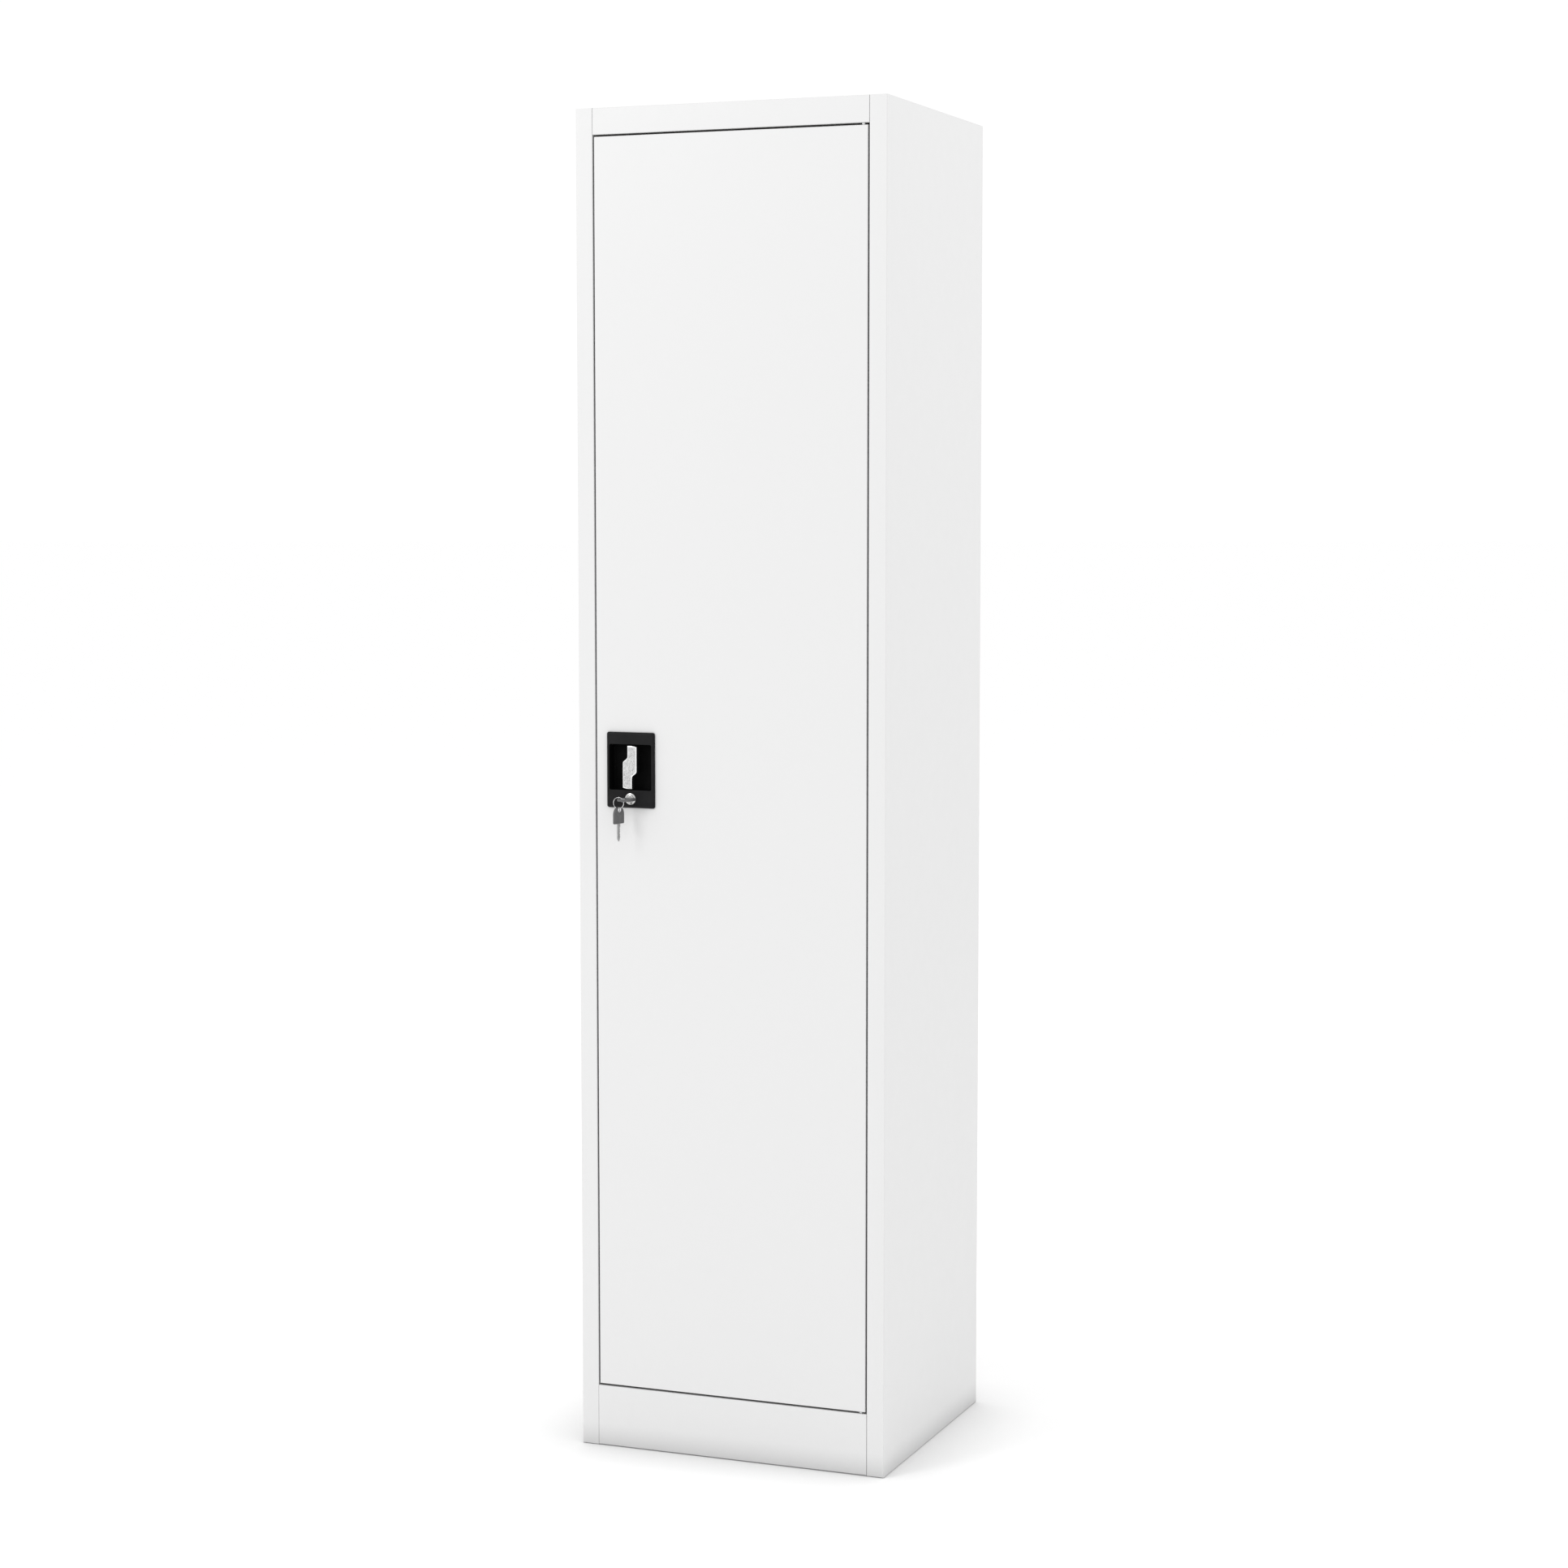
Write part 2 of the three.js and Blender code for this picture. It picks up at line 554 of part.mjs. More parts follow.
function lockTab() {
  const arm = prism('y', roundedRectangle([-7, 22], both(5), 3), [CAM_FRONT, CAM_BACK]);
  return cut(arm, block(both(2.75), [CAM_FRONT - 1, CAM_BACK + 1], both(2.75)));
}

// A key about its ring hole: the blade points along +y, the head lies flat in (x, y).
const KEY_HEAD_HALF = 11;
const KEY_HEAD_END = 19.5;
const KEY_BLADE = 24;
const KEY_METAL = 1.6;
const KEY_GRIP = 3.4;

function keyBlade() {
  const half = 3.1;
  const tip = KEY_HEAD_END + KEY_BLADE;
  const cuts = Array.from({ length: 5 }, (_, k) => {
    const y = KEY_HEAD_END + 4.5 + 3.4 * k;
    const low = half - 1.1 - 0.7 * Math.abs(Math.sin(2.1 * k + 0.6));
    return [[half - 0.2, y], [low, y + 1.1], [low, y + 2.1]];
  }).flat();
  const outline = new THREE.Shape([[-half, KEY_HEAD_END - 1], [-half, tip - 3.5], [-0.6, tip], [0.8, tip],
    ...cuts.reverse(), [half, KEY_HEAD_END - 1]].map(([x, y]) => new THREE.Vector2(x, y)));
  const bow = roundedRectangle(both(5), [-3, KEY_HEAD_END - 2], 2);
  const shank = roundedRectangle(both(half), [KEY_HEAD_END - 6, KEY_HEAD_END + 1], 0.4);
  const flat = [outline, bow, shank].map((shape) => prism('z', shape, both(KEY_METAL / 2)));
  return cut(join(...flat), bar('z', 2.1, both(2)));
}

function keyHead() {
  const outline = roundedRectangle(both(KEY_HEAD_HALF), [-3.6, KEY_HEAD_END], 8, 4);
  const pocket = both(KEY_METAL / 2 + 0.2);
  return cut(
    prism('z', outline, both(KEY_GRIP / 2), 0.5),
    bar('z', 2.7, both(3)),
    prism('z', roundedRectangle(both(5.2), [-3.05, KEY_HEAD_END - 1.7], 2), pocket),
    block(both(3.3), [KEY_HEAD_END - 7, KEY_HEAD_END + 1], pocket),
  );
}

function keyRing() {
  const ring = new THREE.TorusGeometry(RING_R, RING_WIRE_R, 6, 32);
  return manifold(ring.rotateX(Math.PI / 2));
}

// ---- assembly --------------------------------------------------------------------------------------------
const root = new THREE.Group();
const locker = group(root, 0, KEY_REACH - (DEPTH + KEY_REACH) / 2, 0);

place(locker, 'left_side_panel', sidePanel(-1), whitePaint);
place(locker, 'right_side_panel', sidePanel(1), whitePaint);
place(locker, 'top_panel', topPanel(), whitePaint);
place(locker, 'bottom_panel', bottomPanel(), whitePaint);
place(locker, 'back_panel', backPanel(), whitePaint);
place(locker, 'hat_shelf', shelf(), whitePaint);
place(locker, 'hanging_rail', hangingRail(), chrome);
place(locker, 'upper_hinge_pin', hingePin(RAIL_LOW, -1), zincSteel);
place(locker, 'lower_hinge_pin', hingePin(PLINTH, 1), zincSteel);
place(locker, 'upper_door_bumper', doorBumper(BUMPER_ROWS.upper), rubber);
place(locker, 'lower_door_bumper', doorBumper(BUMPER_ROWS.lower), rubber);
for (const [name, side] of [['left', -1], ['right', 1]]) {
  place(locker, `${name}_rail_socket`, railSocket(side), blackPlastic);
  place(locker, `${name}_coat_hook`, coatHook(side), zincSteel);
  place(locker, `${name}_front_shelf_clip`, shelfClip(side, CLIP_ROWS.front), zincSteel);
  place(locker, `${name}_rear_shelf_clip`, shelfClip(side, CLIP_ROWS.rear), zincSteel);
  RIVET_ROWS.forEach((z, row) => place(locker, `${name}_back_rivet_${row + 1}`, backRivet(side, z), zincSteel));
}

const door = group(locker);
place(door, 'door_pan', doorPan(), whitePaint);
place(door, 'door_stiffener', doorStiffener(), whitePaint);
place(door, 'upper_hinge_bush', hingeBush(DOOR_HIGH, -1), nylon);
place(door, 'lower_hinge_bush', hingeBush(DOOR_LOW, 1), nylon);
place(door, 'upper_rod_guide', rodGuide(HANDLE_X + ROD_OFFSET, UPPER_GUIDE), nylon);
place(door, 'lower_rod_guide', rodGuide(HANDLE_X - ROD_OFFSET, LOWER_GUIDE), nylon);

const latch = group(door, HANDLE_X, 0, HANDLE_Z);
place(latch, 'handle_housing', handleHousing(), blackPlastic);
place(latch, 'housing_clamp', housingClamp(), zincSteel);
for (const [name, side] of [['left', -1], ['right', 1]]) {
  const at = [side * CLAMP_SCREW_X, CLAMP_SCREW_Z];
  place(latch, `${name}_clamp_screw`, panScrew(CLAMP_BACK, 10, at, 3.8, 1.8), zincSteel);
}
place(latch, 'turn_handle', turnHandle(), satinSilver);
place(latch, 'cam_plate', camPlate(), zincSteel);
place(latch, 'cam_screw', panScrew(CAM_BACK + FIT, 8.5, [0, 0], 4, 1.6), zincSteel);
place(latch, 'upper_latch_rod', latchRod(1, UPPER_ROD_TIP - HANDLE_Z), zincSteel);
place(latch, 'lower_latch_rod', latchRod(-1, HANDLE_Z - LOWER_ROD_TIP), zincSteel);

const lock = group(door, HANDLE_X, 0, LOCK_Z);
place(lock, 'lock_cylinder', lockCylinder(), chrome);
place(lock, 'cylinder_nut', cylinderNut(), zincSteel);
place(lock, 'lock_plug', lockPlug(), chrome);
place(lock, 'lock_tab', lockTab(), zincSteel);
place(lock, 'tab_screw', panScrew(CAM_BACK + FIT, 5, [0, 0], 3.5, 1.3), zincSteel);

const key = group(lock, 0, KEY_HOLE_DEPTH, 0);
place(key, 'key_blade', keyBlade(), chrome);
place(key, 'key_head', keyHead(), greyPlastic);

const ring = group(lock, RING_X, KEY_HOLE_DEPTH - 0.5, RING_Z);
place(ring, 'key_ring', keyRing(), chrome);

const spareKey = group(ring, 0, 0, -RING_R - 1.4);
spareKey.rotation.set(-Math.PI / 2, 0, THREE.MathUtils.degToRad(SPARE_KEY_YAW), 'ZXY');
place(spareKey, 'spare_key_blade', keyBlade(), chrome);
place(spareKey, 'spare_key_head', keyHead(), greyPlastic);

export default root;
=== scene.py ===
"""A white sheet-steel locker on a plain studio floor.

Materials, fine pieces, light and camera around the CAD frame. Forms are drawn in millimetres; everything
else is in metres.
"""
import json
import math

import bmesh
import bpy
from mathutils import Matrix, Vector
from mathutils.geometry import tessellate_polygon


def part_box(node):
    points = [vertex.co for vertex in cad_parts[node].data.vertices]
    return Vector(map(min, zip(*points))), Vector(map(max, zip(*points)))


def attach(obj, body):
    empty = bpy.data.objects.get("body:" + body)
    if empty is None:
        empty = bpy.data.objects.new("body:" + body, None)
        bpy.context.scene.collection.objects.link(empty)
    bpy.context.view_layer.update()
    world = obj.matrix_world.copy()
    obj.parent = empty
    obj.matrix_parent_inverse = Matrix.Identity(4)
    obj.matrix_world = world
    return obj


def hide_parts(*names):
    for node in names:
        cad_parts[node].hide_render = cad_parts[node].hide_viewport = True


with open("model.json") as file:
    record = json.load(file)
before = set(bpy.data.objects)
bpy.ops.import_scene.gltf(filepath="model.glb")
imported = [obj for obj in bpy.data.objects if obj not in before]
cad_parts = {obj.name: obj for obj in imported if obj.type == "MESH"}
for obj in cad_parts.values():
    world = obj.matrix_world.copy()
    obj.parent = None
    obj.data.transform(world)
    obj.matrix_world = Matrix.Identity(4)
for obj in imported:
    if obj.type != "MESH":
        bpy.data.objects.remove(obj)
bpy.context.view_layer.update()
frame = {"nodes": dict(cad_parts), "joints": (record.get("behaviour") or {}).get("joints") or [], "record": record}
MM = 0.001
nodes = frame["nodes"]
record = frame["record"]


# ---- places from the frame ------------------------------------------------------------------------------
def joint(name):
    return next(j for j in frame["joints"] if j["name"] == name)


FRONT_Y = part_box("left_side_panel")[0].y
HANDLE = Vector(joint("handle_turn")["pos_m"])
LOCK = Vector(joint("plug_turn")["pos_m"])
RING = Vector(joint("ring_turn")["pos_m"])
HANG = Vector(joint("spare_key_swing")["pos_m"])


# ---- node trees -----------------------------------------------------------------------------------------
OPENNESS_SAMPLES = 6


def rgba(color):
    """A node's colour from a grey level or from (red, green, blue)."""
    return (*color, 1) if isinstance(color, tuple) else (color, color, color, 1)


class Shader:
    """A material with short calls for the few nodes that every finish here is made of."""

    def __init__(self, name, color, roughness, metallic=0.0):
        self.material = bpy.data.materials.new(name)
        self.material.use_nodes = True
        self.tree = self.material.node_tree
        self.bsdf = self.tree.nodes["Principled BSDF"]
        self.bsdf.inputs["Base Color"].default_value = rgba(color)
        self.bsdf.inputs["Roughness"].default_value = roughness
        self.bsdf.inputs["Metallic"].default_value = metallic
        self.material.diffuse_color = rgba(color)
        self.place = self.node("ShaderNodeTexCoord").outputs["Object"]
        self.relief = None

    def node(self, kind, **inputs):
        made = self.tree.nodes.new(kind)
        for name, value in inputs.items():
            made.inputs[name.replace("_", " ")].default_value = value
        return made

    def link(self, source, target):
        self.tree.links.new(source, target)

    def set(self, **values):
        for name, value in values.items():
            self.bsdf.inputs[name.replace("_", " ")].default_value = value
        return self

    def noise(self, grain, detail=2.0, roughness=0.5, stretch=None, swirl=0.0):
        """Noise whose features are about `grain` metres, drawn out along the axes by `stretch`."""
        where = self.place
        if stretch:
            mapping = self.node("ShaderNodeMapping")
            mapping.inputs["Scale"].default_value = [1 / s for s in stretch]
            self.link(where, mapping.inputs["Vector"])
            where = mapping.outputs["Vector"]
        made = self.node("ShaderNodeTexNoise", Scale=1 / grain, Detail=detail, Roughness=roughness,
                         Distortion=swirl)
        self.link(where, made.inputs["Vector"])
        return made.outputs["Fac"]

    def openness(self, reach):
        """1 in the open, less where another surface is closer than `reach` metres; the colours below darken by it
        as painted shade.
        """
        made = self.node("ShaderNodeAmbientOcclusion", Distance=reach)
        made.samples = OPENNESS_SAMPLES
        return made.outputs["AO"]

    def ramp(self, source, low, high, dark, light):
        """Maps a 0..1 source between two levels onto two values or two colours."""
        made = self.node("ShaderNodeValToRGB")
        first, last = made.color_ramp.elements
        first.position, last.position = low, high
        first.color, last.color = rgba(dark), rgba(light)
        self.link(source, made.inputs["Fac"])
        return made.outputs["Color"]

    def color(self, source):
        self.link(source, self.bsdf.inputs["Base Color"])
        return self

    def rough(self, source):
        self.link(source, self.bsdf.inputs["Roughness"])
        return self

    def bump(self, source, height, strength=1.0):
        """Adds relief of `height` metres; several calls add up."""
        made = self.node("ShaderNodeBump", Strength=strength, Distance=height)
        self.link(source, made.inputs["Height"])
        if self.relief is not None:
            self.link(self.relief, made.inputs["Normal"])
        self.relief = made.outputs["Normal"]
        self.link(self.relief, self.bsdf.inputs["Normal"])
        return self


# ---- finishes: a colour, a roughness and a fine relief each; the white paint's colour holds painted shade ---
PAINT_WHITE = 0.7
# the painted shade's darkest level of the white paint, and how far from another surface it reaches, in metres
PAINT_SHADE_DARKEST = 0.385
PAINT_SHADE_REACH = 0.034


def powder_coat():
    s = Shader("white_powder_coat", PAINT_WHITE, 0.38).set(Specular_IOR_Level=0.45)
    # painted shade: the paint's colour darkens where another surface is near, at the floor contact, in inside
    # corners and in the gaps
    s.color(s.ramp(s.openness(PAINT_SHADE_REACH), 0, 1, PAINT_SHADE_DARKEST, PAINT_WHITE))
    s.rough(s.ramp(s.noise(0.02, 4), 0.3, 0.7, 0.34, 0.42))
    return s.bump(s.noise(0.0022, 2), 0.00004, 0.35).bump(s.noise(0.0006, 1), 0.00001, 0.3).material


def zinc_plate():
    s = Shader("zinc_plated_steel", (0.6, 0.61, 0.62), 0.35, 1)
    s.color(s.ramp(s.noise(0.012, 4), 0.25, 0.75, (0.5, 0.51, 0.53), (0.68, 0.69, 0.68)))
    s.rough(s.ramp(s.noise(0.004, 5), 0.3, 0.7, 0.26, 0.46))
    return s.bump(s.noise(0.0007, 3), 0.00003, 0.4).material


def polished_chrome():
    s = Shader("polished_chrome", (0.82, 0.82, 0.83), 0.08, 1)
    s.rough(s.ramp(s.noise(0.003, 6, 0.7), 0.35, 0.75, 0.05, 0.16))
    return s.bump(s.noise(0.0012, 2, stretch=(1, 1, 9)), 0.000006, 0.3).material


def cast_silver():
    s = Shader("grained_silver", 0.66, 0.45, 0.85)
    scratches = s.noise(0.0024, 3, 0.6, swirl=3)
    s.color(s.ramp(scratches, 0.36, 0.62, 0.28, 0.74))
    s.rough(s.ramp(s.noise(0.0012, 3), 0.35, 0.65, 0.36, 0.55))
    return s.bump(scratches, 0.0002, 0.8).material


def polished_silver():
    s = Shader("polished_silver_edge", 0.9, 0.16, 1)
    s.rough(s.ramp(s.noise(0.002, 4), 0.3, 0.7, 0.12, 0.26))
    return s.bump(s.noise(0.0008, 2), 0.00001, 0.3).material


def moulded_black():
    s = Shader("moulded_black_plastic", (0.008, 0.008, 0.0085), 0.42).set(Specular_IOR_Level=0.13)
    s.color(s.ramp(s.noise(0.02, 3), 0.3, 0.7, (0.006, 0.006, 0.0065), (0.01, 0.01, 0.0105)))
    s.rough(s.ramp(s.noise(0.002, 4), 0.3, 0.7, 0.36, 0.5))
    return s.bump(s.noise(0.0005, 3), 0.00003, 0.5).material


def unpolished_black():
    s = Shader("unpolished_black_plastic", 0.003, 0.75).set(Specular_IOR_Level=0.06)
    s.color(s.ramp(s.noise(0.02, 3), 0.3, 0.7, 0.002, 0.004))
    s.rough(s.ramp(s.noise(0.002, 4), 0.3, 0.7, 0.68, 0.85))
    return s.bump(s.noise(0.0004, 3), 0.00004, 0.5).material


def satin_nickel():
    s = Shader("satin_nickel", (0.52, 0.52, 0.515), 0.2, 1)
    s.color(s.ramp(s.noise(0.004, 4), 0.3, 0.7, (0.46, 0.46, 0.455), (0.58, 0.58, 0.575)))
    s.rough(s.ramp(s.noise(0.0015, 4), 0.3, 0.7, 0.14, 0.28))
    return s.bump(s.noise(0.0006, 2), 0.00001, 0.3).material


def key_steel():
    s = Shader("nickelled_key_steel", 0.4, 0.3, 1)
    s.color(s.ramp(s.noise(0.003, 4), 0.3, 0.7, 0.34, 0.48))
    s.rough(s.ramp(s.noise(0.001, 4, stretch=(1, 1, 8)), 0.3, 0.7, 0.24, 0.4))
    return s.bump(s.noise(0.0006, 3, stretch=(1, 1, 10)), 0.00002, 0.4).material


def matt_grey():
    s = Shader("key_head_plastic", (0.09, 0.09, 0.092), 0.5)
    s.color(s.ramp(s.noise(0.006, 4), 0.3, 0.7, (0.078, 0.078, 0.08), (0.105, 0.105, 0.107)))
    s.rough(s.ramp(s.noise(0.0015, 4), 0.3, 0.7, 0.42, 0.58))
    return s.bump(s.noise(0.0004, 3), 0.00004, 0.5).material


def natural_nylon():
    s = Shader("natural_nylon", (0.76, 0.73, 0.65), 0.5)
    s.set(Subsurface_Weight=0.15, Subsurface_Scale=0.003)
    s.color(s.ramp(s.noise(0.008, 3), 0.3, 0.7, (0.72, 0.69, 0.61), (0.79, 0.76, 0.69)))
    s.rough(s.ramp(s.noise(0.002, 3), 0.3, 0.7, 0.44, 0.58))
    return s.bump(s.noise(0.0008, 2), 0.00002, 0.4).material


def black_rubber():
    s = Shader("black_rubber", (0.02, 0.02, 0.021), 0.75)
    s.color(s.ramp(s.noise(0.004, 4), 0.3, 0.7, (0.016, 0.016, 0.017), (0.032, 0.032, 0.033)))
    s.rough(s.ramp(s.noise(0.001, 3), 0.3, 0.7, 0.66, 0.85))
    return s.bump(s.noise(0.0005, 3), 0.00005, 0.5).material


FINISHES = {
    "white_paint": powder_coat(),
    "zinc_steel": zinc_plate(),
    "chrome": polished_chrome(),
    "satin_silver": cast_silver(),
    "black_plastic": moulded_black(),
    "grey_plastic": matt_grey(),
    "nylon": natural_nylon(),
    "rubber": black_rubber(),
}
POLISHED_EDGE = polished_silver()
CUP_BLACK = unpolished_black()
KEY_STEEL = key_steel()
LOCK_NICKEL = satin_nickel()


# ---- carried-over CAD nodes -----------------------------------------------------------------------------
SMOOTH_UP_TO = math.radians(42)
BEVEL_FROM = math.radians(50)
WELD_DISTANCE = 2e-6
EDGE_WIDTH = {"white_paint": 0.18 * MM, "zinc_steel": 0.12 * MM}
OTHER_EDGE_WIDTH = 0.15 * MM


def smooth_by_angle(limit):
    """A geometry node group that shades a mesh smooth except across edges sharper than `limit`."""
    group = bpy.data.node_groups.new("smooth_by_angle", "GeometryNodeTree")
    group.interface.new_socket("Geometry", in_out="INPUT", socket_type="NodeSocketGeometry")
    group.interface.new_socket("Geometry", in_out="OUTPUT", socket_type="NodeSocketGeometry")
    new, link = group.nodes.new, group.links.new
    start, end = new("NodeGroupInput"), new("NodeGroupOutput")
    angle, sharp = new("GeometryNodeInputMeshEdgeAngle"), new("FunctionNodeCompare")
    faces, edges = new("GeometryNodeSetShadeSmooth"), new("GeometryNodeSetShadeSmooth")
    edges.domain = "EDGE"
    edges.inputs["Shade Smooth"].default_value = False
    sharp.operation = "GREATER_THAN"
    sharp.inputs["B"].default_value = limit
    link(angle.outputs["Unsigned Angle"], sharp.inputs["A"])
    link(start.outputs[0], faces.inputs["Geometry"])
    link(faces.outputs[0], edges.inputs["Geometry"])
    link(sharp.outputs[0], edges.inputs["Selection"])
    link(edges.outputs[0], end.inputs[0])
    return group


SMOOTH = smooth_by_angle(SMOOTH_UP_TO)


def soften(obj, width):
    """Rounds the sharp edges by `width` and shades the rest smooth, in modifiers over the CAD mesh."""
    weld = obj.modifiers.new("weld", "WELD")
    weld.merge_threshold = WELD_DISTANCE
    bevel = obj.modifiers.new("edge", "BEVEL")
    bevel.width = width
    bevel.segments = 2
    bevel.limit_method = "ANGLE"
    bevel.angle_limit = BEVEL_FROM
    bevel.use_clamp_overlap = True
    obj.modifiers.new("smooth", "NODES").node_group = SMOOTH
    obj.modifiers.new("even", "WEIGHTED_NORMAL").keep_sharp = True


slot_of = {part["node"]: part["material_slot"] for part in record["subparts"]}
for name, obj in nodes.items():
    obj.data.materials.clear()
    obj.data.materials.append(FINISHES[slot_of[name]])
    soften(obj, EDGE_WIDTH.get(slot_of[name], OTHER_EDGE_WIDTH))


# ---- forms drawn in millimetres -------------------------------------------------------------------------
MERGE_DISTANCE = 0.002
POINT_RADIUS = 1e-5  # stands for a point on the axis of a turned body; the merge makes one vertex of it


def circle(radius, centre=(0, 0), steps=64):
    turns = [2 * math.pi * k / steps for k in range(steps)]
    return [(centre[0] + radius * math.cos(a), centre[1] + radius * math.sin(a)) for a in turns]


def rounded(x, z, radius, steps=8, top_radius=None):
    """A rectangle with rounded corners, anticlockwise; x and z are (low, high) spans."""
    top = radius if top_radius is None else top_radius
    corners = [(x[1] - radius, z[0] + radius, radius), (x[1] - top, z[1] - top, top),
               (x[0] + top, z[1] - top, top), (x[0] + radius, z[0] + radius, radius)]
    points = []
    for quarter, (cx, cz, r) in enumerate(corners):
        for k in range(steps + 1):
            a = math.radians(90 * (quarter - 1 + k / steps))
            points.append((cx + r * math.cos(a), cz + r * math.sin(a)))
    return points


def both(half):
    return -half, half


def inset(outline, distance):
    """An anticlockwise outline moved inwards by a distance, or outwards by a negative one."""
    points = [Vector(p) for p in outline]
    moved = []
    for before, here, after in zip(points[-1:] + points[:-1], points, points[1:] + points[:1]):
        a, b = (here - before).normalized(), (after - here).normalized()
        side = Vector((-a.y - b.y, a.x + b.x))
        moved.append(here + side * (2 * distance / side.length_squared))
    return moved


class Form:
    """A closed mesh: outlines lie in (x, z) and are stacked along the depth y, whose front is at -y.

    `place` is where the form's origin goes in the frame, or the matrix that puts the form there.
    """

    def __init__(self, place):
        self.bm = bmesh.new()
        self.place = place if isinstance(place, Matrix) else Matrix.Translation(place)

    def ring(self, outline, depth):
        return [self.bm.verts.new((x, depth, z)) for x, z in outline]

    def skin(self, rings, material=0):
        for a, b in zip(rings, rings[1:]):
            for i in range(len(a)):
                self.bm.faces.new((a[i - 1], a[i], b[i], b[i - 1])).material_index = material

    def fill(self, *loops, material=0):
        """A flat patch inside the first loop and outside the others."""
        corners = [v for loop in loops for v in loop]
        for triple in tessellate_polygon([[v.co for v in loop] for loop in loops]):
            self.bm.faces.new([corners[i] for i in triple]).material_index = material

    def loft(self, outline, profile, material=0):
        """Rings of one outline, each (inset, depth) of the profile; returns the first and the last."""
        rings = [self.ring(inset(outline, by), depth) for by, depth in profile]
        self.skin(rings, material)
        return rings[0], rings[-1]

    def turn(self, profile, centre=(0, 0), steps=64, material=0):
        """A body of revolution about the depth axis through `centre`; the profile is (radius, depth)."""
        rings = [self.ring(circle(max(r, POINT_RADIUS), centre, steps), depth) for r, depth in profile]
        self.skin(rings, material)
        return rings[0], rings[-1]

    def slab(self, outline, depth, edge=0.3, holes=()):
        """A plate with rounded edges and straight holes."""
        front, back = depth
        lean = [(1, 0), (0.3, 0.08), (0.08, 0.3), (0, 1)]
        rim = [(edge * i, front + edge * d) for i, d in lean]
        rim += [(edge * i, back - edge * d) for i, d in lean[::-1]]
        outer = self.loft(outline, rim)
        inner = [self.loft(hole, [(-i, d) for i, d in rim]) for hole in holes]
        self.fill(outer[0], *[ends[0] for ends in inner])
        self.fill(outer[1], *[ends[1] for ends in inner])

    def sweep(self, path, radius, sides):
        """A round wire of `radius` along points (x, y, z), closed at both ends; it sets off across y."""
        points = [Vector(p) for p in path]
        across = Vector((0, 1, 0))
        rings = []
        for i, point in enumerate(points):
            along = (points[min(i + 1, len(points) - 1)] - points[max(i - 1, 0)]).normalized()
            across = (across - along * across.dot(along)).normalized()
            third = along.cross(across)
            rings.append([self.bm.verts.new(point + (across * c + third * s))
                          for c, s in circle(radius, steps=sides)])
        self.skin(rings)
        self.bm.faces.new(rings[0])
        self.bm.faces.new(rings[-1])

    def carve(self, tool):
        """Takes another form, drawn in the same place, out of this one."""
        self.bm = boolean(self.bm, tool.bm, "DIFFERENCE")

    def piece(self, name, body, slot, stands_for, finishes=None, crease=32):
        """Makes the visible piece, in the slot's finish or in `finishes`, its materials by index."""
        bmesh.ops.remove_doubles(self.bm, verts=self.bm.verts, dist=MERGE_DISTANCE)
        bmesh.ops.recalc_face_normals(self.bm, faces=self.bm.faces)
        self.bm.transform(self.place @ Matrix.Scale(MM, 4))
        mesh = bpy.data.meshes.new(name)
        self.bm.to_mesh(mesh)
        self.bm.free()
        for finish in finishes or [FINISHES[slot]]:
            mesh.materials.append(finish)
        mesh.shade_smooth()
        mesh.set_sharp_from_angle(angle=math.radians(crease))
        obj = bpy.data.objects.new(name, mesh)
        bpy.context.scene.collection.objects.link(obj)
        obj.modifiers.new("even", "WEIGHTED_NORMAL").keep_sharp = True
        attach(obj, body)
        if stands_for:
            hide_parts(stands_for)


def boolean(whole, tool, operation):
    """A boolean of two bmeshes, worked out by the exact solver. Both are used up."""
    objects = []
    for part in (whole, tool):
        bmesh.ops.remove_doubles(part, verts=part.verts, dist=MERGE_DISTANCE)
        bmesh.ops.recalc_face_normals(part, faces=part.faces)
        mesh = bpy.data.meshes.new("boolean")
        part.to_mesh(mesh)
        part.free()
        objects.append(bpy.data.objects.new("boolean", mesh))
        bpy.context.scene.collection.objects.link(objects[-1])
    modifier = objects[0].modifiers.new("boolean", "BOOLEAN")
    modifier.operation, modifier.solver, modifier.object = operation, "EXACT", objects[1]
    result = bmesh.new()
    result.from_object(objects[0], bpy.context.evaluated_depsgraph_get())
    for obj in objects:
        mesh = obj.data
        bpy.data.objects.remove(obj)
        bpy.data.meshes.remove(mesh)
    return result


# ---- handle and lock: depth is from the door's face, the rest from the handle's or the lock's axis ------
LOCK_Z = (LOCK.z - HANDLE.z) / MM
CLAMP_SCREW = Vector((26, 38.8))
BEZEL_FACE = -4
BEZEL_LIP = -3.6
BEZEL_BACK = -0.3
CUP_HALF = 31.5
RECESS_FLOOR = 12
SHELL_HALF = 33.1
CUP_BACK = 13.5
SEAT_RADIUS = 8.3
BARREL_BORE = 7.3
SHAFT_BORE = 5.4


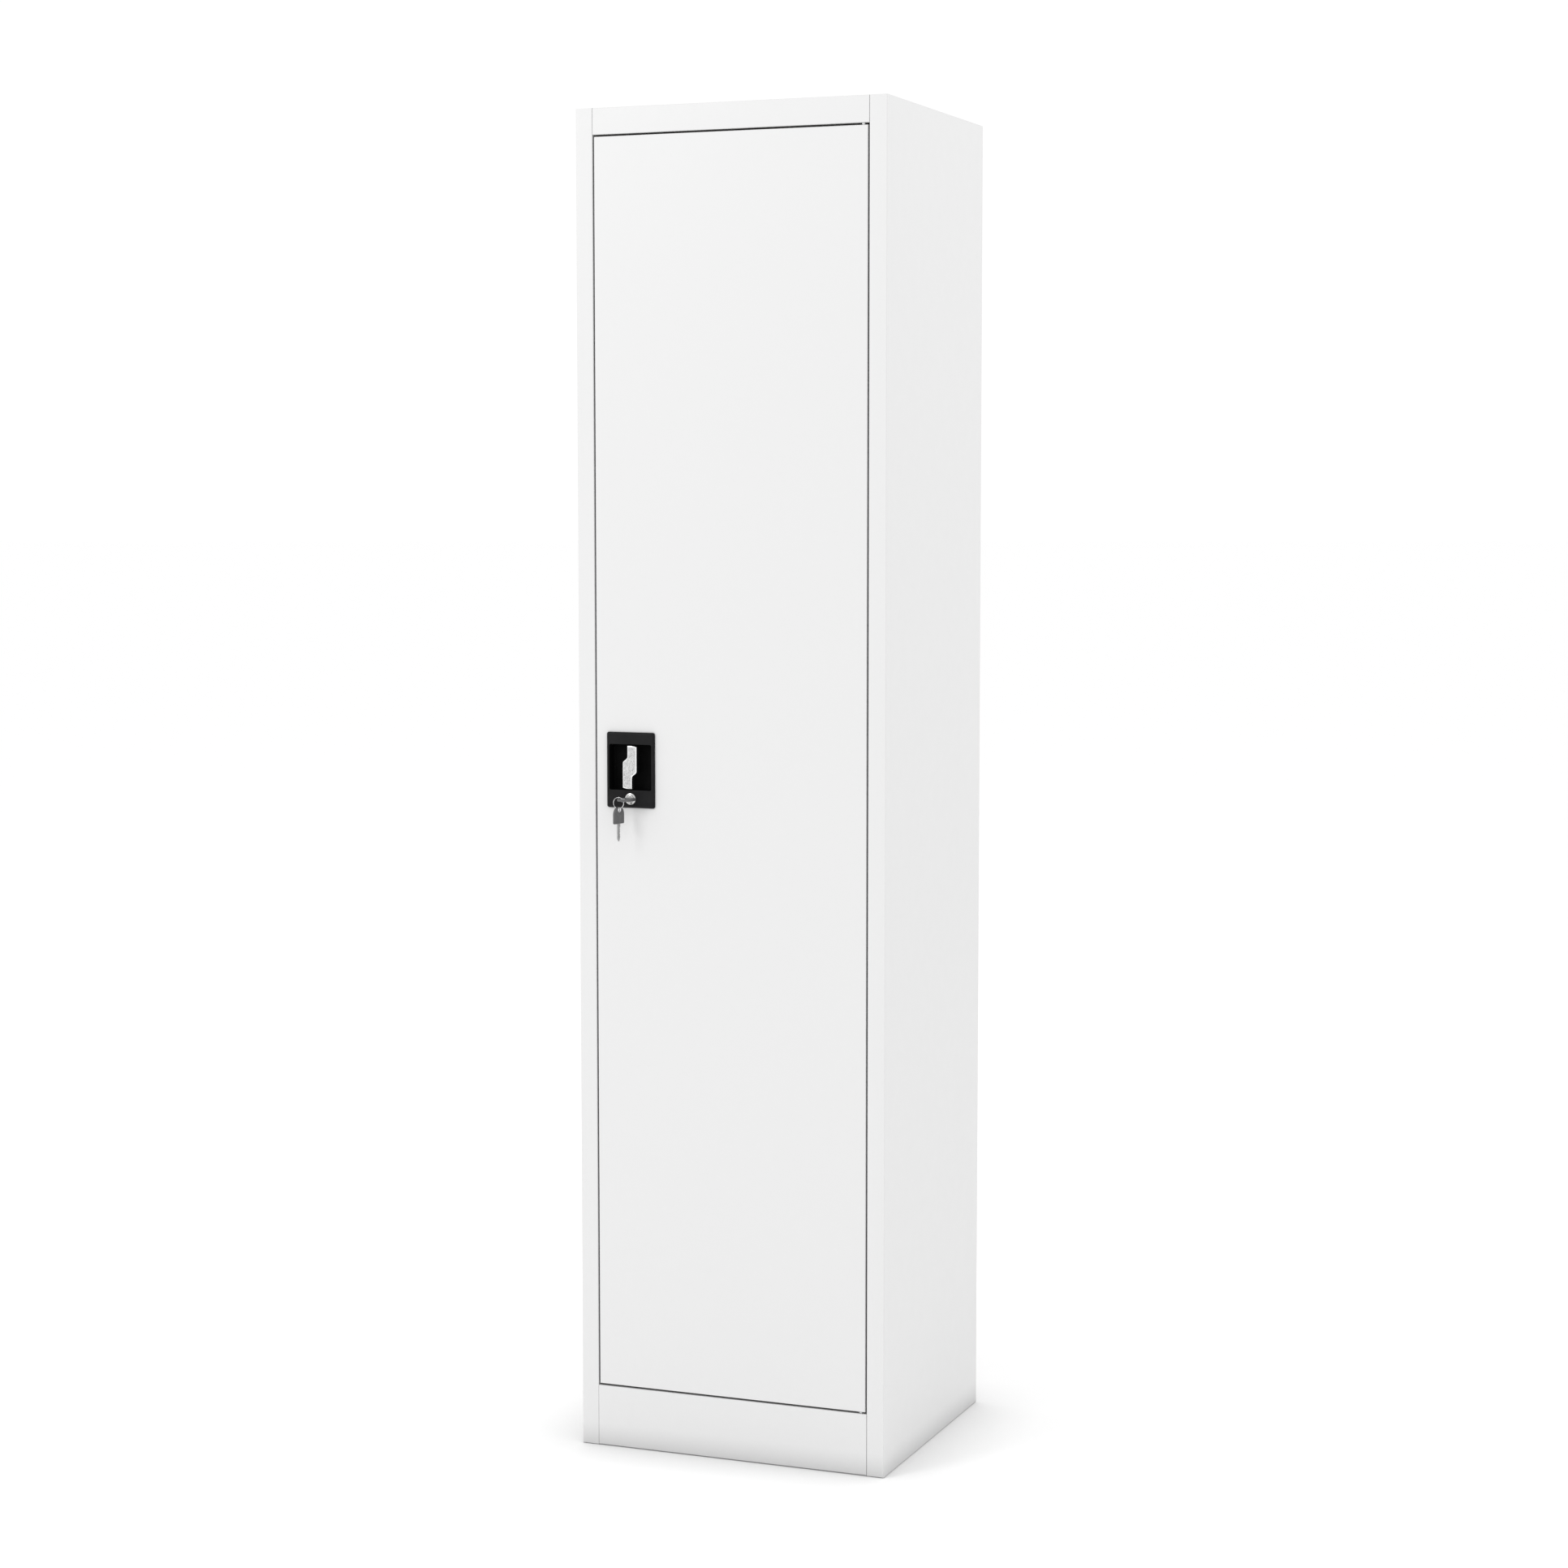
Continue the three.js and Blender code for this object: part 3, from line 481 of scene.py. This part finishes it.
def handle_housing():
    """The moulded plate with its square finger cup, lock seat and two screw bosses."""
    form = Form(HANDLE)
    low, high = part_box("handle_housing")
    plate = rounded(((low.x - HANDLE.x) / MM, (high.x - HANDLE.x) / MM),
                    ((low.z - HANDLE.z) / MM, (high.z - HANDLE.z) / MM), 3)
    outer = form.loft(plate, [(0, BEZEL_BACK), (0, -1.7), (0.1, -2.0), (1.9, -3.8), (2.1, -3.94),
                              (2.4, BEZEL_FACE)])
    opening = rounded(both(CUP_HALF), both(CUP_HALF), 2.5)
    lip = form.loft(opening, [(-0.4, BEZEL_FACE), (-0.12, -3.88), (0, BEZEL_LIP)])
    cup = form.loft(opening, [(0, BEZEL_LIP), (0.15, 10.6), (0.3, 11.3), (0.75, 11.8),
                              (1.5, RECESS_FLOOR)], 1)
    at_lock = (0, LOCK_Z)
    seat = form.turn([(8.7, BEZEL_FACE), (8.42, -3.88), (SEAT_RADIUS, BEZEL_LIP), (SEAT_RADIUS, -2.2),
                      (BARREL_BORE, -2.2), (BARREL_BORE, CUP_BACK)], at_lock)
    form.fill(outer[1], lip[0], seat[0])
    shaft = form.turn([(5.7, RECESS_FLOOR), (SHAFT_BORE, RECESS_FLOOR + 0.3), (SHAFT_BORE, CUP_BACK)])
    form.fill(cup[1], shaft[0], material=1)
    shell = form.loft(rounded(both(SHELL_HALF), both(SHELL_HALF), 4),
                      [(0, BEZEL_BACK), (0, 12.9), (0.18, 13.32), (0.6, CUP_BACK)])
    boss = form.turn([(9, BEZEL_BACK), (9, 13.1), (8.6, CUP_BACK)], at_lock)
    bosses = []
    for side in (-1, 1):
        at = (side * CLAMP_SCREW.x, CLAMP_SCREW.y)
        post = form.turn([(4.4, BEZEL_BACK), (4.4, 13.1), (4.1, CUP_BACK)], at, 32)
        hole = form.turn([(2.1, CUP_BACK), (2.1, 4), (0, 4)], at, 32)
        form.fill(post[1], hole[0])
        bosses.append(post[0])
    form.fill(outer[0], shell[0], boss[0], *bosses)
    form.fill(shell[1], shaft[1])
    form.fill(boss[1], seat[1])
    form.piece("handle_housing_moulding", "door", "black_plastic", "handle_housing",
               [FINISHES["black_plastic"], CUP_BLACK])


def curve(points, steps):
    """A cubic Bezier curve through four control points, without its first point."""
    a, b, c, d = (Vector(p) for p in points)
    return [tuple(a * (1 - t) ** 3 + b * 3 * t * (1 - t) ** 2 + c * 3 * t * t * (1 - t) + d * t ** 3)
            for t in (k / steps for k in range(1, steps + 1))]


GRIP_FRONT = -6.5
GRIP_BACK = 1.5
HUB_END = 11.7
SHAFT_RADIUS = 5.1
SHAFT_END = 21.6
SQUARE_END = 24


def turn_handle():
    """The S-shaped grip on its square-ended shaft: a grained face, bright rounded edges and black sides."""
    # from the axis to the S's wide and narrow sides, to its round ends, and to both ends of its bends
    wide, narrow, reach, far, near = 10.5, 3.5, 30, 15.2, 5.2
    middle = (far + near) / 2
    end = [math.asin(x / reach) for x in (wide, -narrow)]
    top = [end[0] + (end[1] - end[0]) * k / 12 for k in range(13)]
    half = [(wide, -near)] + [(reach * math.sin(a), reach * math.cos(a)) for a in top] + [(-narrow, far)]
    half += curve([(-narrow, far), (-narrow, middle), (-wide, middle), (-wide, near)], 10)
    outline = half[:-1] + [(-x, -z) for x, z in half[:-1]]
    form = Form(HANDLE)
    edge = form.loft(outline, [(1.5, GRIP_FRONT), (1, GRIP_FRONT + 0.08), (0.55, GRIP_FRONT + 0.3),
                               (0.22, GRIP_FRONT + 0.65), (0.04, GRIP_FRONT + 1.1)], 1)
    wall = form.loft(outline, [(0.04, GRIP_FRONT + 1.1), (0, GRIP_FRONT + 1.3), (0, GRIP_BACK - 1),
                               (1, GRIP_BACK)], 2)
    form.fill(edge[0])
    hub = form.turn([(7.5, GRIP_BACK), (7.5, 11.3), (7.1, HUB_END), (SHAFT_RADIUS, HUB_END)], material=2)
    form.fill(wall[1], hub[0], material=2)
    shaft = form.turn([(SHAFT_RADIUS, HUB_END), (SHAFT_RADIUS, 21.3), (4.8, SHAFT_END)])
    square = form.loft(rounded(both(3.5), both(3.5), 0.4, 3), [(0, SHAFT_END), (0, 23.7), (0.3, SQUARE_END)])
    bore = form.turn([(1.9, SQUARE_END), (1.9, 15.5), (0, 15.5)], steps=32)
    form.fill(shaft[1], square[0])
    form.fill(square[1], bore[0])
    form.piece("turn_handle_casting", "turning_handle", "satin_silver", "turn_handle",
               [FINISHES["satin_silver"], POLISHED_EDGE, FINISHES["black_plastic"]])


DOME_RADIUS = 30
LOCK_FACE = -5.2
BARREL_END = 20.2
PLUG_RADIUS = 5.2
PLUG_END = 21.4


def domed(r):
    """The depth of the lock's shallow dome at the radius r."""
    return LOCK_FACE + DOME_RADIUS - math.sqrt(DOME_RADIUS ** 2 - r ** 2)


def lock_cylinder():
    """The barrel with its domed rim and threaded body."""
    form = Form(LOCK)
    bore, root, crest, pitch = 5.45, 6.5, 6.95, 0.5
    rim = [(r, domed(r)) for r in (5.6, 6.2, 6.8, 7.3, 7.6)]
    front = [(bore, domed(5.6) + 0.15), *rim, (7.9, domed(7.6) + 0.2), (8, domed(7.6) + 0.5), (8, -2.7),
             (7.8, -2.5)]
    thread = [(crest - 0.45 * (k % 2), -1.5 + pitch * k) for k in range(43)]
    form.turn([(bore, BARREL_END), *front, (crest, -2.5), *thread, (root, BARREL_END), (bore, BARREL_END)])
    form.piece("lock_cylinder_barrel", "door", "chrome", "lock_cylinder", [LOCK_NICKEL], crease=40)


def lock_plug():
    """The domed plug with its keyway, a pin hole over it and a square tail."""
    form = Form(LOCK)
    face = [(r, domed(r)) for r in (0, 1, 2, 3, 4, 4.9)]
    form.turn(face + [(5.13, domed(5) + 0.08), (PLUG_RADIUS, domed(5) + 0.3), (PLUG_RADIUS, 21.2),
                      (5.0, PLUG_END), (0, PLUG_END)])
    tail = Form(LOCK)
    tail.slab(rounded(both(2.5), both(2.5), 0.3, 3), (21, 24), 0.25)
    form.bm = boolean(form.bm, tail.bm, "UNION")
    keyway = Form(LOCK)
    keyway.slab(rounded(both(4.3), both(1.2), 0.25, 3), (-8, 17), 0.01)
    pin = Form(LOCK)
    pin.slab(circle(0.7, (0, 3), 24), (-8, -3), 0.01)
    bore = Form(LOCK)
    bore.slab(circle(1.6, steps=32), (18.5, 26), 0.01)
    for tool in (keyway, pin, bore):
        form.carve(tool)
    form.piece("lock_plug_body", "turning_plug", "chrome", "lock_plug", [LOCK_NICKEL])


# ---- keys, drawn about the ring hole with the blade towards +z of the form ------------------------------
HEAD_END = 19.5
BLADE_END = 43.5
BLADE_HALF = 3.1
METAL_HALF = 0.8
HEAD_HALF = 1.7


def blade_outline():
    """The blade's outline: a pointed tip and five bitting cuts on one side."""
    half = BLADE_HALF
    points = [(-half, HEAD_END - 1), (half, HEAD_END - 1)]
    for k in range(5):
        z = HEAD_END + 4.5 + 3.4 * k
        low = half - 1.1 - 0.7 * abs(math.sin(2.1 * k + 0.6))
        points += [(half - 0.2, z), (low, z + 1.1), (low, z + 2.1)]
    return points + [(0.8, BLADE_END), (-0.6, BLADE_END), (-half, BLADE_END - 3.5)]


def key(name, place, body):
    """A nickelled key with milled grooves and a bright eyelet, half of it inside a moulded head."""
    metal = Form(place)
    metal.slab(blade_outline(), both(METAL_HALF), 0.12)
    # the bow and the shank are a hair thinner than the blade, so that no faces coincide in the union
    bow = Form(place)
    bow.slab(rounded(both(5), (-3, HEAD_END - 2), 2), both(0.79), 0.12, [circle(2.1, steps=40)])
    shank = Form(place)
    shank.slab(rounded(both(BLADE_HALF), (HEAD_END - 6, HEAD_END + 0.6), 0.4, 3), both(0.795), 0.12)
    eyelet = Form(place)
    flange = [(3.45, 1.72), (3.4, 1.82), (3.15, 1.92), (2.8, 1.96), (2.5, 1.88), (2.35, HEAD_HALF)]
    front = [(r, -y) for r, y in flange]
    eyelet.turn(front + flange[::-1] + [(2.62, 1.72), (2.62, -1.72), front[0]], steps=48)
    metal.bm = boolean(boolean(metal.bm, shank.bm, "UNION"), bow.bm, "UNION")
    for side in (-1, 1):
        groove = Form(place)
        groove.slab(rounded((-1.5, -0.5), (HEAD_END + 1, BLADE_END - 3), 0.45),
                    sorted((side * 0.5, side * 1.2)), 0.02)
        metal.carve(groove)
    eyelet.piece(f"{name}_eyelet", body, "chrome", f"{name}_blade")
    metal.piece(f"{name}_metal", body, "chrome", f"{name}_blade", [KEY_STEEL])

    head = Form(place)
    outline = rounded(both(11), (-3.6, HEAD_END), 10, 16, 1.5)
    rim = [(0, 0.9), (0.12, 1.35), (0.45, 1.62), (0.9, HEAD_HALF)]
    shell = head.loft(outline, [(i, -y) for i, y in rim[::-1]] + rim)
    eye = head.loft(circle(2.7, steps=48), [(-0.35, -HEAD_HALF), (0, -1.4), (0, 1.4), (-0.35, HEAD_HALF)])
    head.fill(shell[0], eye[0])
    head.fill(shell[1], eye[1])
    for tool_outline in (rounded(both(5.2), (-3.05, HEAD_END - 1.7), 2),
                         rounded(both(3.3), (HEAD_END - 7, HEAD_END + 1), 0.3, 3)):
        pocket = Form(place)
        pocket.slab(tool_outline, both(1.0), 0.01)
        head.carve(pocket)
    head.piece(f"{name}_grip", body, "grey_plastic", f"{name}_head")


def split_ring():
    """A split ring of two turns of spring wire."""
    form = Form(RING)
    steps, turns, start = 192, 1.96, 2.2
    radius, wire, half_gap = 7.65, 0.27, 0.3
    path = []
    for k in range(steps + 1):
        turn = 2 * math.pi * turns * k / steps
        blend = min(max((k / steps - 0.45) / 0.1, 0), 1)
        shift = half_gap * (2 * (3 * blend ** 2 - 2 * blend ** 3) - 1)
        path.append((radius * math.cos(turn + start), shift, radius * math.sin(turn + start)))
    form.sweep(path, wire, 12)
    form.piece("split_ring", "ring", "chrome", "key_ring")


HOLE_FORWARD = 27.5 * MM
HOLE_BELOW_HANG = 1.4 * MM
SPARE_YAW = math.radians(78)


def keys():
    """The key in the lock lies level, blade to the back; the spare key hangs blade down, turned by a yaw."""
    hole = Vector((LOCK.x, FRONT_Y - HOLE_FORWARD, LOCK.z))
    level = Matrix(((1, 0, 0), (0, 0, 1), (0, 1, 0)))
    key("key", Matrix.Translation(hole) @ level.to_4x4(), "inserted_key")
    sideways = Vector((math.cos(SPARE_YAW), math.sin(SPARE_YAW), 0))
    hanging = Matrix((sideways, (-sideways.y, sideways.x, 0), (0, 0, -1))).transposed()
    hole = HANG - Vector((0, 0, HOLE_BELOW_HANG))
    key("spare_key", Matrix.Translation(hole) @ hanging.to_4x4(), "spare_key")


# ---- inside the cabinet ---------------------------------------------------------------------------------
def spline(points, steps):
    """A Catmull-Rom curve through the points."""
    ends = [2 * points[0] - points[1], *points, 2 * points[-1] - points[-2]]
    path = [points[0]]
    for p0, p1, p2, p3 in zip(ends, ends[1:], ends[2:], ends[3:]):
        for k in range(1, steps + 1):
            t = k / steps
            path.append(0.5 * (2 * p1 + (p2 - p0) * t + (2 * p0 - 5 * p1 + 4 * p2 - p3) * t ** 2
                               + (3 * p1 - p0 - 3 * p2 + p3) * t ** 3))
    return path


HOOK_WIRE = 2.6
HOOK_REACH = 41
KNOB_RADIUS = 4.4
HOOK_RIVET_Z = 13


def coat_hook(name, side):
    """A bent wire arm with a round knob on a plate with two rivets."""
    low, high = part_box(name)
    wall = low.x if side < 0 else high.x
    origin = Vector((wall, (low.y + high.y) / 2, (low.z + high.z) / 2))
    form = Form(origin)
    arm = ((1, 4), (14, 1), (28, -6), (38, -2), (HOOK_REACH, 9), (HOOK_REACH, 12))
    form.sweep(spline([Vector((-side * x, 0, z)) for x, z in arm], 10), HOOK_WIRE, 20)
    knob = Form(origin)
    falls = [math.pi * k / 16 for k in range(17)]
    knob.turn([(KNOB_RADIUS * math.sin(a), KNOB_RADIUS * math.cos(a)) for a in falls])
    knob.bm.transform(Matrix.Translation((-side * HOOK_REACH, 0, 13)))
    plate = Form(origin)
    plate.slab(rounded(both(10), both(18), 3), (0, 1.5), 0.4)
    for z in (-HOOK_RIVET_Z, HOOK_RIVET_Z):
        rivet = Form(origin)
        rivet.turn([(0, 2.3), (1.2, 2.2), (2.2, 1.8), (2.5, 1.3), (2.5, 1), (0, 1)], (0, z), 32)
        plate.bm = boolean(plate.bm, rivet.bm, "UNION")
    plate.bm.transform(Matrix.Rotation(side * math.pi / 2, 4, "Z"))
    form.bm = boolean(boolean(form.bm, knob.bm, "UNION"), plate.bm, "UNION")
    form.piece(f"{name}_steel", "cabinet", "zinc_steel", name)


SEAM_X = 199.7
SEAM_WIDTH = 0.3
SEAM_DEPTH = (0.3, 0.75)
RAIL_SEAM = 35.4
PLINTH_SEAM = 84.4
SEAM_MARGIN = 1


def painted_seams():
    """The paint that closes the slits beside the top rail and beside the plinth, just behind their faces."""
    form = Form((0, FRONT_Y, 0))
    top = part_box("top_panel")[1].z / MM
    for rows in ((top - RAIL_SEAM, top - SEAM_MARGIN), (SEAM_MARGIN, PLINTH_SEAM)):
        for side in (-1, 1):
            across = sorted((side * SEAM_X, side * (SEAM_X + SEAM_WIDTH)))
            form.slab(rounded(across, rows, 0.02, 2), SEAM_DEPTH, 0.04)
    form.piece("painted_seams", "cabinet", "white_paint", None)


handle_housing()
turn_handle()
lock_cylinder()
lock_plug()
keys()
split_ring()
coat_hook("left_coat_hook", -1)
coat_hook("right_coat_hook", 1)
painted_seams()


# ---- studio ---------------------------------------------------------------------------------------------
FLOOR_Z = -0.001
FLOOR_WHITE = 0.93
# the painted shadow's darkest level on the floor, and how far from the locker it reaches, in metres
FLOOR_SHADOW_DARKEST = 0.6
FLOOR_SHADOW_REACH = 0.12
WORLD_STRENGTH = 1.02


def studio_floor():
    """A white sheet just below the feet, wide enough for its far edge to merge with the background, with a painted
    contact shadow around the feet.
    """
    bpy.ops.mesh.primitive_plane_add(size=400, location=(0, 150, FLOOR_Z))
    floor = bpy.context.object
    floor.name = "studio_floor"
    s = Shader("studio_floor_white", FLOOR_WHITE, 0.9).set(Specular_IOR_Level=0.1)
    s.set(Emission_Color=(1, 1, 1, 1), Emission_Strength=0.05)
    # painted shadow: the floor's colour darkens where the locker stands near it
    s.color(s.ramp(s.openness(FLOOR_SHADOW_REACH), 0, 1, FLOOR_SHADOW_DARKEST, FLOOR_WHITE))
    floor.data.materials.append(s.material)


def area_light(name, place, target, size, power):
    """A square softbox at `place` that faces `target` and is not seen itself."""
    data = bpy.data.lights.new(name, "AREA")
    data.size = size
    data.energy = power
    lamp = bpy.data.objects.new(name, data)
    lamp.location = place
    lamp.rotation_euler = (Vector(target) - Vector(place)).to_track_quat("-Z", "Y").to_euler()
    lamp.visible_camera = False
    bpy.context.scene.collection.objects.link(lamp)


def studio():
    world = bpy.data.worlds.new("white_studio")
    world.use_nodes = True
    background = world.node_tree.nodes["Background"]
    background.inputs["Color"].default_value = (1, 1, 1, 1)
    background.inputs["Strength"].default_value = WORLD_STRENGTH
    bpy.context.scene.world = world
    studio_floor()
    area_light("front_left_softbox", (-2.6, -4.2, 3.4), (0, 0, 0.9), 1.6, 60)
    area_light("upper_right_softbox", (2.4, 0.2, 3.1), (0.225, 0.02, 1.2), 0.8, 12)


# Fitted to the locker's corners in the photograph; the angles are in radians.
CAMERA_PLACE = (1.6698, -4.1789, 1.3247)
CAMERA_DOWN = 0.0891
CAMERA_LEFT = 0.3785
CAMERA_LENS = 73.63
CAMERA_SENSOR = 36


def camera():
    """Stands to the right of the front at standing chest height and looks slightly down, with a long lens."""
    data = bpy.data.cameras.new("photo_camera")
    data.sensor_width = CAMERA_SENSOR
    data.lens = CAMERA_LENS
    cam = bpy.data.objects.new("photo_camera", data)
    cam.location = CAMERA_PLACE
    cam.rotation_euler = (math.pi / 2 - CAMERA_DOWN, 0, CAMERA_LEFT)
    data.clip_end = 100
    bpy.context.scene.collection.objects.link(cam)
    bpy.context.scene.camera = cam


scene = bpy.context.scene
scene.view_settings.view_transform = "Standard"
scene.view_settings.look = "None"
studio()
camera()
